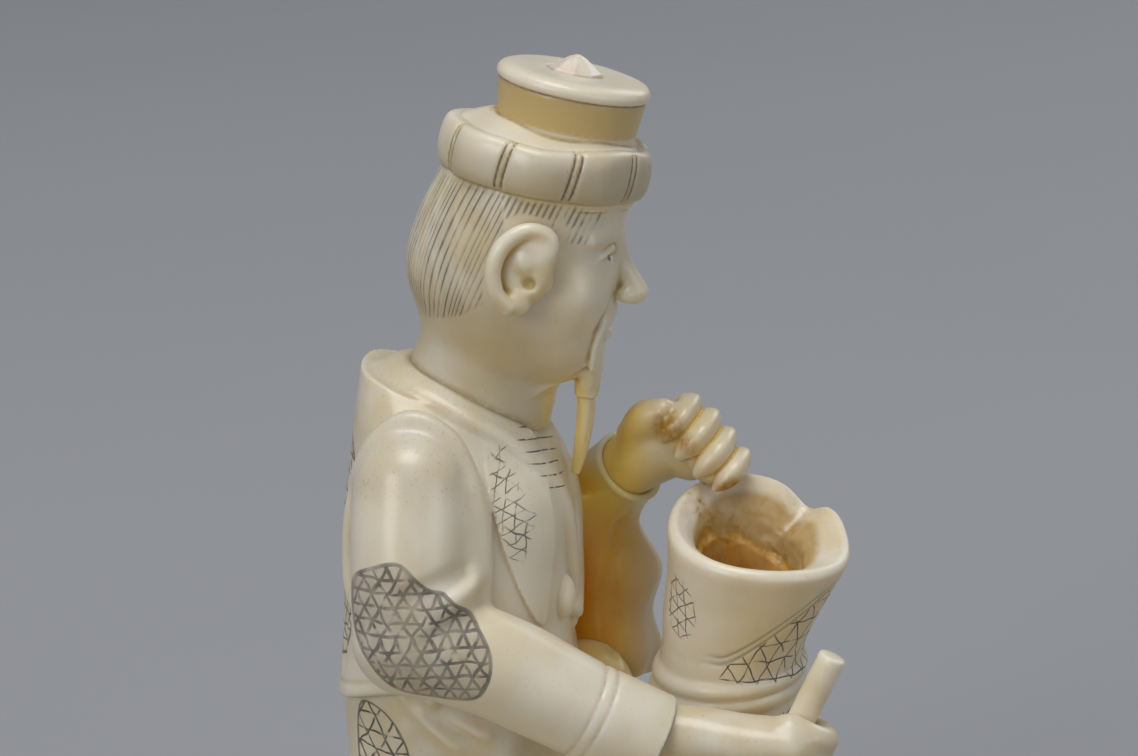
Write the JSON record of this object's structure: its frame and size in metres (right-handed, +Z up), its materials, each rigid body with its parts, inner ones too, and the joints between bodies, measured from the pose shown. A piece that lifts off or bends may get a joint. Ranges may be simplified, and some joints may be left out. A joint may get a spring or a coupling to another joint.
{
  "type": "carved figure ornament",
  "caption": "Carved okimono of an old man in a brimmed cap, seated on a low oval base, one fist on a tall flared vessel and the other round a tool rod.",
  "frame": {"origin": "centre of the underside of the oval base", "axes": "+Z up, the figure faces -Y, its right hand is on the -X side"},
  "size_m": [0.068, 0.072, 0.122],
  "materials": {
    "carved_ivory": "polished, warm patina in the recesses, dark ink in the incised lines",
    "aged_ivory": "satin, brown stain in the rough bore",
    "pale_shell": "polished, slightly pink"
  },
  "bodies": {
    "root": {"figure": "carved_ivory", "vessel": "aged_ivory", "tool_rod": "carved_ivory", "cap_button": "pale_shell"}
  },
  "joints": []
}
